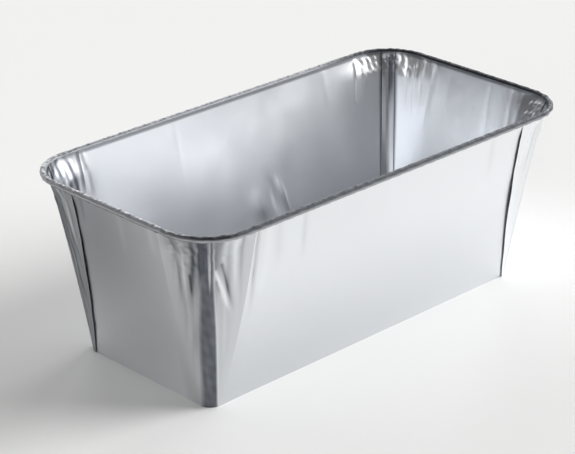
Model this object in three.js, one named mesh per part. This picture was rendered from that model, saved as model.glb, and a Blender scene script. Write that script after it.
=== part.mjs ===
// A disposable loaf pan folded from one blank of aluminium foil.
// Each solid is one panel of the blank between its folds: the base, four leaning walls, the hairpin
// pleats that take up the spare foil beside every corner, the gusset that wraps each corner over its
// two pleats, and the edge that is rolled outward round the mouth.
// Frame: origin on the floor under the middle of the base, X along the pan, Z up.
import * as THREE from "three";

const { degToRad, lerp, smoothstep } = THREE.MathUtils;

// Driving dimensions in millimetres.
const BASE_LENGTH = 202; // outside of the base along X, fold to fold
const BASE_WIDTH = 84; // outside of the base along Y, fold to fold
const OVERALL_HEIGHT = 92; // floor to the top of the rolled rim
const FOIL = 0.1; // gauge of the foil
const BASE_CREASE = 5; // crease to sharp corner, at the floor
const MOUTH_CREASE = 30; // crease to sharp corner, at the mouth
const CREASE_BOW = 2.5; // how far a crease bows towards the middle of its wall at half height
const MOUTH_CORNER = 22; // radius of the mouth's corners, on the outside of the walls
const BAND_RADIUS = 6; // bend of the band in the middle of each gusset
const PLEAT_APEX = 0.4; // least width of a pleat's face, where it dies out at the floor
const FOLD_LAP = 0.8; // how far a gusset's folded edges stand past the creases
const ROUNDING_DEPTH = 12; // stretch below the mouth where flat pleat faces swell to the round rim
const CURL_RADIUS = 1.6; // outside of the rolled rim
const LAYER_GAP = 0.05; // air between layers of foil that are pressed together
const LIP_GAP = 0.4; // air between the raw edge of the curl and the gussets

// Driving angles.
const WALL_LEAN = degToRad(10.85); // outward lean of all four walls
const CREASE_TURN = degToRad(14.5); // bend from a wall to the pleat face beside it

// Fineness of the curved stretches.
const FACE_STEPS = 3;
const BAND_STEPS = 4;
const CREASE_ROWS = 4;
const ROUNDING_ROWS = 4;
const RIM_CORNER_STEPS = 8;
const CURL_STEPS = 20;

// Layers of foil at a corner, as level distances outside the wall's own outer face.
const LAYER = FOIL / Math.cos(WALL_LEAN);
const WALL_INSIDE = -LAYER;
const RETURN_INSIDE = LAYER_GAP;
const RETURN_OUTSIDE = RETURN_INSIDE + LAYER;
const GUSSET_INSIDE = RETURN_OUTSIDE + LAYER_GAP;
const GUSSET_OUTSIDE = GUSSET_INSIDE + LAYER;

const EIGHTH_TURN = Math.PI / 4;
const MITRE = LAYER * Math.tan(CREASE_TURN / 2);
const MOUTH_HEIGHT = OVERALL_HEIGHT - CURL_RADIUS * (1 - Math.sin(WALL_LEAN));

const CORNERS = {
  front_left: { x: -1, y: -1 },
  front_right: { x: 1, y: -1 },
  back_right: { x: 1, y: 1 },
  back_left: { x: -1, y: 1 },
};

const sheetFoil = new THREE.MeshStandardMaterial({ color: 0xdfe2e4, roughness: 0.3, metalness: 1 });
const foldedFoil = new THREE.MeshStandardMaterial({ color: 0xd3d6d9, roughness: 0.36, metalness: 1 });
const rolledFoil = new THREE.MeshStandardMaterial({ color: 0xc9cccf, roughness: 0.28, metalness: 1 });

// Sizes of the pan's plan at one height.
function levelAt(z) {
  const outset = z * Math.tan(WALL_LEAN);
  const rise = z / MOUTH_HEIGHT;
  const reach = lerp(BASE_CREASE, MOUTH_CREASE, rise) + 4 * CREASE_BOW * rise * (1 - rise);
  const faceToPeak = reach / (Math.cos(CREASE_TURN) + Math.sin(CREASE_TURN));
  const trim = Math.tan(EIGHTH_TURN - CREASE_TURN);
  const band = Math.min(BAND_RADIUS, (faceToPeak - PLEAT_APEX) / trim);
  const face = faceToPeak - band * trim;
  return {
    z,
    halfLength: BASE_LENGTH / 2 + outset,
    halfWidth: BASE_WIDTH / 2 + outset,
    reach,
    band,
    face,
    halfRun: face + band * (EIGHTH_TURN - CREASE_TURN),
    rounding: smoothstep(z, MOUTH_HEIGHT - ROUNDING_DEPTH, MOUTH_HEIGHT),
  };
}

// Half a corner in plan, set out from the sharp corner where the two wall planes would meet.
// along runs from the crease over the flat pleat face and half the band; off is the distance outside
// the wall's outer face. Near the mouth the three bends melt into one round of the mouth's radius.
function plan(level, along, off) {
  const { reach, band, face, halfRun, rounding } = level;
  const cos = Math.cos(CREASE_TURN);
  const sin = Math.sin(CREASE_TURN);
  const run = Math.min(along, face);
  const folded = new THREE.Vector2(-sin * run + cos * off, -reach + cos * run + sin * off);
  if (along > face) {
    const turn = CREASE_TURN + (along - face) / band;
    folded.set(-sin * face - band * cos, -reach + cos * face - band * sin);
    folded.x += (band + off) * Math.cos(turn);
    folded.y += (band + off) * Math.sin(turn);
  }
  const radius = Math.min(MOUTH_CORNER, reach);
  const flat = reach - radius;
  const angle = (Math.max(along - flat, 0) / (halfRun - flat)) * EIGHTH_TURN;
  const round = new THREE.Vector2(Math.cos(angle), Math.sin(angle)).multiplyScalar(radius + off);
  round.x -= radius;
  round.y += Math.min(along, flat) - reach;
  return folded.lerp(round, rounding);
}

// The same point in the pan's frame, on the end wall's or the long wall's half of a corner.
function place(level, corner, half, along, off) {
  const flat = plan(level, along, off);
  const [u, v] = half === "end" ? [flat.x, flat.y] : [flat.y, flat.x];
  return new THREE.Vector3(corner.x * (level.halfLength + u), corner.y * (level.halfWidth + v), level.z);
}

// Evenly spaced values from start to end, both included.
function spread(start, end, steps) {
  return Array.from({ length: steps + 1 }, (_, i) => lerp(start, end, i / steps));
}

// Solid through rings of equal length that run counter-clockwise about the direction they are stacked
// in. A closed stack joins its last ring to its first; an open one is capped level. Each four-sided
// facet is split across its shorter diagonal, so that layers lying on each other are split alike.
function stackRings(rings, closed) {
  const count = rings[0].length;
  const points = rings.flat();
  const index = [];
  const rows = closed ? rings.length : rings.length - 1;
  for (let row = 0; row < rows; row += 1) {
    const low = row * count;
    const high = ((row + 1) % rings.length) * count;
    for (let i = 0; i < count; i += 1) {
      const next = (i + 1) % count;
      const [a, b, c, d] = [low + i, low + next, high + next, high + i];
      const rising = points[a].distanceTo(points[c]) < points[b].distanceTo(points[d]);
      index.push(...(rising ? [a, b, c, a, c, d] : [a, b, d, b, c, d]));
    }
  }
  if (!closed) {
    const top = (rings.length - 1) * count;
    for (const [a, b, c] of THREE.ShapeUtils.triangulateShape(rings[0], [])) index.push(c, b, a);
    for (const [a, b, c] of THREE.ShapeUtils.triangulateShape(rings.at(-1), [])) {
      index.push(top + a, top + b, top + c);
    }
  }
  const geometry = new THREE.BufferGeometry().setFromPoints(points);
  geometry.setIndex(index);
  geometry.computeVertexNormals();
  return geometry;
}

function panel(name, rings, material) {
  const upward = rings.map((ring) => (THREE.ShapeUtils.isClockWise(ring) ? [...ring].reverse() : ring));
  const mesh = new THREE.Mesh(stackRings(upward, false), material);
  mesh.name = name;
  return mesh;
}

const SWELL_HEIGHT = MOUTH_HEIGHT - ROUNDING_DEPTH;
const WALL_LEVELS = [
  ...spread(0, SWELL_HEIGHT, CREASE_ROWS),
  ...spread(SWELL_HEIGHT, MOUTH_HEIGHT, ROUNDING_ROWS).slice(1),
].map(levelAt);

// A flat wall between the creases of two corners, mitred to the pleats at both ends.
function wall(name, first, second, half) {
  const ring = (level) => [
    place(level, first, half, 0, 0),
    place(level, second, half, 0, 0),
    place(level, second, half, MITRE, WALL_INSIDE),
    place(level, first, half, MITRE, WALL_INSIDE),
  ];
  return panel(name, WALL_LEVELS.map(ring), sheetFoil);
}

// Spare foil beside a corner, folded back on itself: the inner leaf carries on from the wall, turns in
// a hairpin at the band and returns under the gusset to its folded edge.
function pleat(name, corner, half) {
  const ring = (level) => {
    const { face } = level;
    const heel = FOIL + LAYER_GAP - FOLD_LAP;
    const inward = spread(MITRE, face, FACE_STEPS).map((along) => [along, WALL_INSIDE]);
    const returned = [...spread(face, 0, FACE_STEPS), heel].map((along) => [along, RETURN_OUTSIDE]);
    const under = [heel, ...spread(0, face - FOIL, FACE_STEPS)].map((along) => [along, RETURN_INSIDE]);
    const outward = spread(face - FOIL, 0, FACE_STEPS).map((along) => [along, 0]);
    return [...inward, ...returned, ...under, ...outward].map(([along, off]) =>
      place(level, corner, half, along, off),
    );
  };
  return panel(name, WALL_LEVELS.map(ring), foldedFoil);
}

// The outermost foil of a corner: a round band with a flat face on each side, hemmed over both pleats.
function gusset(name, corner) {
  const ring = (level) => {
    const { face, halfRun } = level;
    const over = [0, ...spread(face / FACE_STEPS, face, FACE_STEPS - 1)];
    const round = spread(face, halfRun, BAND_STEPS).slice(1);
    const outside = [...over, ...round].map((along) => [along, GUSSET_OUTSIDE]);
    const inside = [...over, ...round].map((along) => [along, GUSSET_INSIDE]);
    const hemOutside = [-FOLD_LAP, RETURN_INSIDE];
    const hemPeak = [-FOLD_LAP, GUSSET_OUTSIDE];
    const hemFoot = [FOIL - FOLD_LAP, RETURN_INSIDE];
    const hemRoot = [FOIL - FOLD_LAP, GUSSET_INSIDE];
    const edge = [hemFoot, hemOutside, hemPeak];
    const at = (half) => ([along, off]) => place(level, corner, half, along, off);
    return [
      ...[...edge, ...outside].map(at("end")),
      ...[...edge, ...outside].slice(0, -1).reverse().map(at("side")),
      ...[hemRoot, ...inside].map(at("side")),
      ...[hemRoot, ...inside].slice(0, -1).reverse().map(at("end")),
    ];
  };
  return panel(name, WALL_LEVELS.map(ring), foldedFoil);
}

// The flat base, filling the plan inside the walls, the pleats and the bands of the gussets.
function basePanel(name) {
  const ring = (level) => {
    const { face, halfRun } = level;
    const band = spread(face + LAYER_GAP, halfRun, BAND_STEPS).map((along) => [along, RETURN_OUTSIDE]);
    const half = [[MITRE, WALL_INSIDE], [face + LAYER_GAP, WALL_INSIDE], ...band];
    return Object.values(CORNERS).flatMap((corner) => {
      const at = (side) => ([along, off]) => place(level, corner, side, along, off);
      const round = [...half.map(at("end")), ...half.slice(0, -1).reverse().map(at("side"))];
      return corner.x * corner.y > 0 ? round : round.reverse();
    });
  };
  return panel(name, [0, FOIL].map(levelAt).map(ring), sheetFoil);
}

// Section of the curl: outward from the wall's outer face and up. It starts square on the wall's top
// edge, rolls over outward and stops where its raw edge is clear of the gussets.
function curlSection() {
  const centre = new THREE.Vector2(
    CURL_RADIUS * Math.cos(WALL_LEAN) - LAYER,
    MOUTH_HEIGHT - CURL_RADIUS * Math.sin(WALL_LEAN),
  );
  const lipReach = Math.cos(WALL_LEAN) * (LAYER + GUSSET_OUTSIDE + LIP_GAP);
  const lipAngle = Math.acos(1 - lipReach / CURL_RADIUS) - WALL_LEAN - Math.PI;
  const angles = spread(Math.PI - WALL_LEAN, lipAngle, CURL_STEPS);
  const arc = (radius) => (angle) =>
    new THREE.Vector2(Math.cos(angle), Math.sin(angle)).multiplyScalar(radius).add(centre);
  const outside = angles.map(arc(CURL_RADIUS));
  const inside = angles.slice(1).reverse().map(arc(CURL_RADIUS - FOIL));
  return [...outside, ...inside, new THREE.Vector2(0, MOUTH_HEIGHT)];
}

// The foil's edge rolled outward, one unbroken bead round the mouth.
function rolledRim(name) {
  const section = curlSection();
  const mouth = levelAt(MOUTH_HEIGHT);
  const rings = [CORNERS.back_right, CORNERS.back_left, CORNERS.front_left, CORNERS.front_right].flatMap(
    (corner, quarter) =>
      spread(0, Math.PI / 2, RIM_CORNER_STEPS).map((turn) => {
        const angle = turn + (quarter * Math.PI) / 2;
        return section.map(({ x: outset, y: z }) => {
          const radius = MOUTH_CORNER + outset;
          return new THREE.Vector3(
            corner.x * (mouth.halfLength - MOUTH_CORNER) + radius * Math.cos(angle),
            corner.y * (mouth.halfWidth - MOUTH_CORNER) + radius * Math.sin(angle),
            z,
          );
        });
      }),
  );
  const mesh = new THREE.Mesh(stackRings(rings, true), rolledFoil);
  mesh.name = name;
  return mesh;
}

const walls = new THREE.Group();
walls.add(
  wall("front_wall", CORNERS.front_left, CORNERS.front_right, "side"),
  wall("back_wall", CORNERS.back_right, CORNERS.back_left, "side"),
  wall("left_end_wall", CORNERS.back_left, CORNERS.front_left, "end"),
  wall("right_end_wall", CORNERS.front_right, CORNERS.back_right, "end"),
);

const corners = new THREE.Group();
for (const [name, corner] of Object.entries(CORNERS)) {
  corners.add(
    gusset(`${name}_gusset`, corner),
    pleat(`${name}_end_pleat`, corner, "end"),
    pleat(`${name}_side_pleat`, corner, "side"),
  );
}

const loafPan = new THREE.Group();
loafPan.name = "foil_loaf_pan";
loafPan.add(basePanel("base_panel"), walls, corners, rolledRim("rolled_rim"));

export default loafPan;
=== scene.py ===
"""Dresses the foil loaf pan: creased foil walls, pleated corners and a rolled rim round the mouth."""

import logging
import math
from abc import ABC, abstractmethod
from dataclasses import dataclass
from enum import Enum
from typing import NamedTuple

import bpy
import numpy as np
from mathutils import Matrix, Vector


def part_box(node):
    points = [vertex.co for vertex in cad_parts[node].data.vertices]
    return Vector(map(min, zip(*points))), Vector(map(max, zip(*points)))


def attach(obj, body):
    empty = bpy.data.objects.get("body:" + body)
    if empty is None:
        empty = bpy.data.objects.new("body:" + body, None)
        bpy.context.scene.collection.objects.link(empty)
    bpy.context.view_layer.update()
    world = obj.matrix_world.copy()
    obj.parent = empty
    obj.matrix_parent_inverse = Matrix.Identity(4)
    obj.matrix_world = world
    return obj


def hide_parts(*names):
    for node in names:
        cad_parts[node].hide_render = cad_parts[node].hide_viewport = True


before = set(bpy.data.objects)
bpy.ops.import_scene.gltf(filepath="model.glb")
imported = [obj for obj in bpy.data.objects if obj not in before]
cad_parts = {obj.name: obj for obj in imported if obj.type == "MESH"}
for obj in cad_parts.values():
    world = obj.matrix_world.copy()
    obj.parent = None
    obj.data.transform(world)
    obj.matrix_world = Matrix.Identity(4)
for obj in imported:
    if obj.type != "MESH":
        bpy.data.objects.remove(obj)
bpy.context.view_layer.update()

# metres in a millimetre, the unit of the sizes here
MM = 0.001
WELD = 0.0001
EIGHTH_TURN = math.pi / 4
BODY = "root"
PHOTO_WIDTH = 575
PHOTO_HEIGHT = 454
# point attribute of painted shade and highlights, with some handling wear
SHADE_AND_WEAR = "shade_and_wear"
STREAK_DROP = (14, 42)
STREAK_LEAN = 0.12
STREAK_HEIGHT = (0.12, 0.3)
STREAK_WIDTH = (2.5, 5.5)

log = logging.getLogger("foil_loaf_pan")


class Slot(Enum):
    """Finishes that the record names."""

    SHEET = "foil_sheet"
    FOLDED = "foil_folded"
    RIM = "foil_rim"


class Corner(Enum):
    """Corners of the pan, by the signs of X and Y."""

    FRONT_LEFT = (-1, -1)
    FRONT_RIGHT = (1, -1)
    BACK_RIGHT = (1, 1)
    BACK_LEFT = (-1, 1)


class Half(Enum):
    """Halves of a corner, by the wall that they start from."""

    END = "end"
    SIDE = "side"


class Wall(Enum):
    """Walls of the pan, by the direction that they face in plan."""

    FRONT_WALL = (0, -1)
    BACK_WALL = (0, 1)
    LEFT_END_WALL = (-1, 0)
    RIGHT_END_WALL = (1, 0)


def smoothstep(value: np.ndarray, low: float, high: float) -> np.ndarray:
    """Eases from 0 at low to 1 at high.

    Args:
        value: Values to ease.
        low: Value where the ease starts.
        high: Value where the ease ends.

    Returns:
        Eased values from 0 to 1.
    """
    share = np.clip((value - low) / (high - low), 0.0, 1.0)
    return share * share * (3.0 - 2.0 * share)


@dataclass(frozen=True)
class Crease:
    """A fold line pressed into a panel, sharp along its ridge.

    It rises over the share of its length that rise gives, and runs out from the share that run_out gives.
    """

    start: tuple[float, float]
    end: tuple[float, float]
    height: float
    width: float
    rise: float = 0.0
    run_out: float = 0.4

    def lift(self, across: np.ndarray, up: np.ndarray) -> np.ndarray:
        """Finds how far the fold stands out of the panel.

        Args:
            across: Distances across the panel in millimetres.
            up: Heights in millimetres.

        Returns:
            Outward distances in millimetres.
        """
        run_across, run_up = self.end[0] - self.start[0], self.end[1] - self.start[1]
        from_across, from_up = across - self.start[0], up - self.start[1]
        share = (from_across * run_across + from_up * run_up) / (run_across**2 + run_up**2)
        share = np.clip(share, 0.0, 1.0)
        gap = np.hypot(from_across - share * run_across, from_up - share * run_up)
        ends = 1 - smoothstep(share, self.run_out, 1.0)
        if self.rise:
            ends = ends * smoothstep(share, 0.0, self.rise)
        return self.height * ends * np.clip(1 - gap / self.width, 0.0, 1.0) ** 2


@dataclass(frozen=True)
class Ripple:
    """Random waves over a panel: soft swells, or sharp ones that leave flat facets between ridges."""

    seed: int
    pitch: float
    height: float
    sharp: bool = False
    waves: int = 6
    pitch_spread: tuple[float, float] = (0.7, 1.8)

    def lift(self, across: np.ndarray, up: np.ndarray) -> np.ndarray:
        """Finds how far the waves stand out of the panel.

        Args:
            across: Distances across the panel in millimetres.
            up: Heights in millimetres.

        Returns:
            Outward distances in millimetres.
        """
        rng = np.random.default_rng(self.seed)
        total = np.zeros_like(across)
        for _ in range(self.waves):
            heading = rng.uniform(0, math.pi)
            pitch = self.pitch * rng.uniform(*self.pitch_spread)
            phase = (across * math.cos(heading) + up * math.sin(heading)) / pitch + rng.uniform()
            total += 1 - 4 * np.abs(phase % 1.0 - 0.5) if self.sharp else np.sin(2 * math.pi * phase)
        return total * self.height / self.waves


@dataclass(frozen=True)
class Grain:
    """A ripple drawn out across or up a corner, with a seed counted from the corner's own."""

    seed_step: int
    pitch: float
    height: float
    across: float = 1.0
    up: float = 1.0

    def lift(self, seed: int, across: np.ndarray, up: np.ndarray) -> np.ndarray:
        """Finds the height of the ripple.

        Args:
            seed: The corner's own seed.
            across: Distances across the corner, before they are drawn out.
            up: Heights, before they are drawn out.

        Returns:
            Heights of the ripple, about zero.
        """
        ripple = Ripple(seed + self.seed_step, self.pitch, self.height)
        return ripple.lift(across * self.across, up * self.up)


@dataclass(frozen=True)
class ShadeAndWearPatch:
    """A patch of painted shade, partly handling wear: darker foil, evenly in its core and less towards its
    edge.
    """

    spot: tuple[float, float]
    reach: tuple[float, float]
    # how dark the patch's core is painted
    dull: float
    core: float = 0.0

    def share(self, across: np.ndarray, up: np.ndarray) -> np.ndarray:
        """Finds how dark the patch paints the foil.

        Args:
            across: Distances from the middle of the wall in millimetres.
            up: Heights in millimetres.

        Returns:
            Shares from 0 to 1.
        """
        away = np.hypot((across - self.spot[0]) / self.reach[0], (up - self.spot[1]) / self.reach[1])
        return self.dull * (1 - smoothstep(away, self.core, 1.0))


def hanging_creases(seed: int, spots: tuple[float, ...], top: float) -> tuple[Crease, ...]:
    """Scatters soft streaks that hang from the rim.

    Args:
        seed: Seed of the scatter.
        spots: Where the streaks start, in millimetres across the panel.
        top: Height where they start.

    Returns:
        One crease for each spot.
    """
    rng = np.random.default_rng(seed)
    creases = []
    for spot in spots:
        drop = rng.uniform(*STREAK_DROP)
        lean = rng.uniform(-STREAK_LEAN, STREAK_LEAN) * drop
        height = rng.choice((-1, 1)) * rng.uniform(*STREAK_HEIGHT)
        width = rng.uniform(*STREAK_WIDTH)
        creases.append(Crease((spot, top), (spot + lean, top - drop), height, width))
    return tuple(creases)


@dataclass(frozen=True)
class PanForm:
    """Sizes of the folded foil, in millimetres and radians, and the surface that they span."""

    base_length: float
    base_width: float
    overall_height: float
    gauge: float = 0.1
    base_crease: float = 5.0
    mouth_crease: float = 30.0
    crease_bow: float = 2.5
    mouth_corner: float = 22.0
    band_radius: float = 6.0
    pleat_apex: float = 0.4
    fold_lap: float = 0.8
    rounding_depth: float = 12.0
    curl_radius: float = 1.6
    layer_gap: float = 0.05
    lip_gap: float = 0.4
    lean: float = math.radians(10.85)
    crease_turn: float = math.radians(14.5)
    crease_ease: float = 14.0
    crease_ease_share: float = 0.6
    crease_ease_rise: float = 6.0
    foot: float = 0.02

    @classmethod
    def from_frame(cls) -> "PanForm":
        """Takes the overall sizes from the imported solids.

        Returns:
            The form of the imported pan.
        """
        rim_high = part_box("rolled_rim")[1]
        base_low, base_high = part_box("base_panel")
        return cls(
            base_length=round((base_high[0] - base_low[0]) / MM),
            base_width=round((base_high[1] - base_low[1]) / MM),
            overall_height=rim_high[2] / MM,
        )

    @property
    def layer(self) -> float:
        """Level thickness of one leaning layer of foil."""
        return self.gauge / math.cos(self.lean)

    @property
    def mouth_height(self) -> float:
        """Height where the walls end and the curl starts."""
        return self.overall_height - self.curl_radius * (1.0 - math.sin(self.lean))

    def height(self, up: np.ndarray) -> np.ndarray:
        """Height at a share of the way from the foot to the mouth."""
        return self.foot + up * (self.mouth_height - self.foot)

    def half_length(self, z: np.ndarray) -> np.ndarray:
        """Half the outside length of the walls at a height."""
        return self.base_length / 2 + z * math.tan(self.lean)

    def half_width(self, z: np.ndarray) -> np.ndarray:
        """Half the outside width of the walls at a height."""
        return self.base_width / 2 + z * math.tan(self.lean)

    def reach(self, z: np.ndarray) -> np.ndarray:
        """Distance from a crease to the sharp corner at a height."""
        rise = z / self.mouth_height
        straight = self.base_crease + (self.mouth_crease - self.base_crease) * rise
        return straight + 4 * self.crease_bow * rise * (1 - rise)

    def band(self, z: np.ndarray) -> np.ndarray:
        """Radius of the band in the middle of a gusset at a height."""
        trim = math.tan(EIGHTH_TURN - self.crease_turn)
        return np.minimum(self.band_radius, (self._face_to_peak(z) - self.pleat_apex) / trim)

    def face(self, z: np.ndarray) -> np.ndarray:
        """Width of a flat pleat face at a height."""
        return self._face_to_peak(z) - self.band(z) * math.tan(EIGHTH_TURN - self.crease_turn)

    def half_run(self, z: np.ndarray) -> np.ndarray:
        """Foil from a crease to the middle of the band at a height."""
        return self.face(z) + self.band(z) * (EIGHTH_TURN - self.crease_turn)

    def rounding(self, z: np.ndarray) -> np.ndarray:
        """How far the flat faces have swelled to the round mouth, from 0 to 1."""
        return smoothstep(z, self.mouth_height - self.rounding_depth, self.mouth_height)

    def eased_crease(self, gap: np.ndarray, z: np.ndarray) -> np.ndarray:
        """Finds how far the foil cuts inside a crease, so that it bends there in a soft curve.

        Args:
            gap: Distances from the crease.
            z: Heights.

        Returns:
            Outward distances in millimetres, negative inside.
        """
        ease = np.minimum(self.crease_ease, self.crease_ease_share * self.half_run(z))
        fade = (1 - self.rounding(z)) * smoothstep(z, 0, self.crease_ease_rise)
        depth = self.crease_turn * ease / 4 * fade
        return -depth * np.clip(1 - np.abs(gap) / ease, 0, 1) ** 2

    def _face_to_peak(self, z: np.ndarray) -> np.ndarray:
        """Width of a pleat face if the band had no radius."""
        return self.reach(z) / (math.cos(self.crease_turn) + math.sin(self.crease_turn))

    def corner_points(
        self, corner: Corner, half: Half, z: np.ndarray, along: np.ndarray, off: np.ndarray
    ) -> np.ndarray:
        """Finds points on half a corner.

        Args:
            corner: Which corner.
            half: Which half of it.
            z: Heights.
            along: Distances from the crease over the pleat face and half the band.
            off: Level distances outside the wall's outer face.

        Returns:
            Points in the pan's frame, one row each.
        """
        cos, sin = math.cos(self.crease_turn), math.sin(self.crease_turn)
        reach, band, face = self.reach(z), self.band(z), self.face(z)
        run = np.minimum(along, face)
        turn = self.crease_turn + np.maximum(along - face, 0.0) / band
        bent = along > face
        bent_u = -sin * face - band * cos + (band + off) * np.cos(turn)
        bent_v = cos * face - band * sin + (band + off) * np.sin(turn)
        u = np.where(bent, bent_u, -sin * run + cos * off)
        v = np.where(bent, bent_v, cos * run + sin * off) - reach
        radius = np.minimum(self.mouth_corner, reach)
        flat = reach - radius
        angle = np.maximum(along - flat, 0.0) / (self.half_run(z) - flat) * EIGHTH_TURN
        round_u = (radius + off) * np.cos(angle) - radius
        round_v = (radius + off) * np.sin(angle) + np.minimum(along, flat) - reach
        swell = self.rounding(z)
        u = u + (round_u - u) * swell
        v = v + (round_v - v) * swell
        if half is Half.SIDE:
            u, v = v, u
        sign_x, sign_y = corner.value
        x = sign_x * (self.half_length(z) + u)
        y = sign_y * (self.half_width(z) + v)
        return np.stack([x, y, z], axis=1)

    def foot_points(self, wall: Wall, share: np.ndarray) -> np.ndarray:
        """Finds points where a wall and half a corner at each end of it stand on the floor.

        Args:
            wall: Which wall.
            share: Shares of the way from the middle of one corner to the next, in the axis's direction.

        Returns:
            Points on the inside of the foil, one row each.
        """
        face_x, face_y = wall.value
        half = Half.END if face_x else Half.SIDE
        z = np.zeros_like(share)
        off = np.full_like(share, -self.layer)
        corner_run = float(self.half_run(np.zeros(1))[0])
        length = (self.base_width if face_x else self.base_length) - 2 * self.base_crease
        run = share * (length + 2 * corner_run)
        low = Corner((face_x or -1, face_y or -1))
        high = Corner((face_x or 1, face_y or 1))
        near = self.corner_points(low, half, z, np.clip(corner_run - run, 0, corner_run), off)
        far = self.corner_points(high, half, z, np.clip(run - length - corner_run, 0, corner_run), off)
        part = np.clip((run - corner_run) / length, 0, 1)[:, None]
        return near + (far - near) * part


def linear(hex_colour: str) -> tuple[float, float, float, float]:
    """Turns an sRGB hex colour to linear.

    Args:
        hex_colour: Colour as #RRGGBB.

    Returns:
        Linear red, green, blue and alpha.
    """
    shares = [int(hex_colour[i : i + 2], 16) / 255 for i in (1, 3, 5)]
    red, green, blue = (s / 12.92 if s <= 0.04045 else ((s + 0.055) / 1.055) ** 2.4 for s in shares)
    return red, green, blue, 1.0


def add_node(
    tree: bpy.types.NodeTree, kind: str, inputs: dict[str | int, object], **settings: object
) -> bpy.types.Node:
    """Adds a node to a tree.

    Args:
        tree: The tree.
        kind: Type of the node.
        inputs: For each input, a value to set or another node's output to link.
        settings: The node's own settings.

    Returns:
        The new node.
    """
    node = tree.nodes.new(kind)
    for key, value in settings.items():
        setattr(node, key, value)
    for key, value in inputs.items():
        if isinstance(value, bpy.types.NodeSocket):
            tree.links.new(value, node.inputs[key])
        else:
            node.inputs[key].default_value = value
    return node


@dataclass(frozen=True)
class FoilFinish:
    """Rolled aluminium foil: satin where it is flat, mixed towards a darker, rougher colour where painted
    shade or handling wear is marked.
    """

    slot: Slot
    flat_colour: str
    shade_and_wear_colour: str
    smooth: float
    rough: float
    worked_roughness: float
    mottle: float
    mottle_height: float

    # rolling marks on real foil are about 0.02 mm apart, drawn coarser so that a render can show them
    rolling_pitch: float = 0.6
    rolling_length: float = 45.0
    rolling_height: float = 0.002
    fine_detail: float = 2.0
    patch: float = 24.0
    patch_detail: float = 3.0
    patch_range: tuple[float, float] = (0.3, 0.7)

    def material(self) -> bpy.types.Material:
        """Gives the material, which the first piece that asks for it makes.

        Returns:
            The material.
        """
        name = f"rolled_aluminium_{self.slot.value}"
        if name in bpy.data.materials:
            return bpy.data.materials[name]
        material = bpy.data.materials.new(name)
        material.use_nodes = True
        tree = material.node_tree
        shader = tree.nodes["Principled BSDF"]
        shader.inputs["Metallic"].default_value = 1.0
        place = add_node(tree, "ShaderNodeTexCoord", {}).outputs["Object"]
        bent = add_node(tree, "ShaderNodeAttribute", {}, attribute_name=SHADE_AND_WEAR).outputs["Fac"]
        # a darker colour paints shade where the attribute is high, in folds, corner bands and under the
        # curl, with some handling wear; low values leave painted highlights
        colours = {0: bent, 6: linear(self.flat_colour), 7: linear(self.shade_and_wear_colour)}
        colour = add_node(tree, "ShaderNodeMix", colours, data_type="RGBA")
        tree.links.new(colour.outputs[2], shader.inputs["Base Color"])
        # handling leaves broad patches that are a little more or less glossy
        spread = {"Vector": place, "Scale": 1 / (self.patch * MM), "Detail": self.patch_detail}
        patches = add_node(tree, "ShaderNodeTexNoise", spread)
        low, high = self.patch_range
        gloss = {"Value": patches.outputs[0], "From Min": low, "From Max": high}
        gloss |= {"To Min": self.smooth, "To Max": self.rough}
        satin = add_node(tree, "ShaderNodeMapRange", gloss)
        dull = add_node(tree, "ShaderNodeMix", {0: bent, 2: satin.outputs[0], 3: self.worked_roughness})
        tree.links.new(dull.outputs[0], shader.inputs["Roughness"])
        # rolling marks run along the pan and blur what the foil mirrors a little more across them
        mark = (self.rolling_length, self.rolling_pitch, self.rolling_pitch)
        stretch = tuple(1 / (size * MM) for size in mark)
        drawn = add_node(tree, "ShaderNodeMapping", {"Vector": place, "Scale": stretch})
        streaky = {"Vector": drawn.outputs[0], "Scale": 1.0, "Detail": self.fine_detail}
        lines = add_node(tree, "ShaderNodeTexNoise", streaky)
        marks = {"Height": lines.outputs[0], "Distance": self.rolling_height * MM, "Strength": 1.0}
        rolled = add_node(tree, "ShaderNodeBump", marks)
        # handling leaves small shallow dents, closer together where the foil was folded
        mottled = {"Vector": place, "Scale": 1 / (self.mottle * MM), "Detail": self.fine_detail}
        dents = add_node(tree, "ShaderNodeTexNoise", mottled)
        pits = {"Height": dents.outputs[0], "Distance": self.mottle_height * MM, "Strength": 1.0}
        dented = add_node(tree, "ShaderNodeBump", pits | {"Normal": rolled.outputs[0]})
        tree.links.new(dented.outputs[0], shader.inputs["Normal"])
        return material


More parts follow.
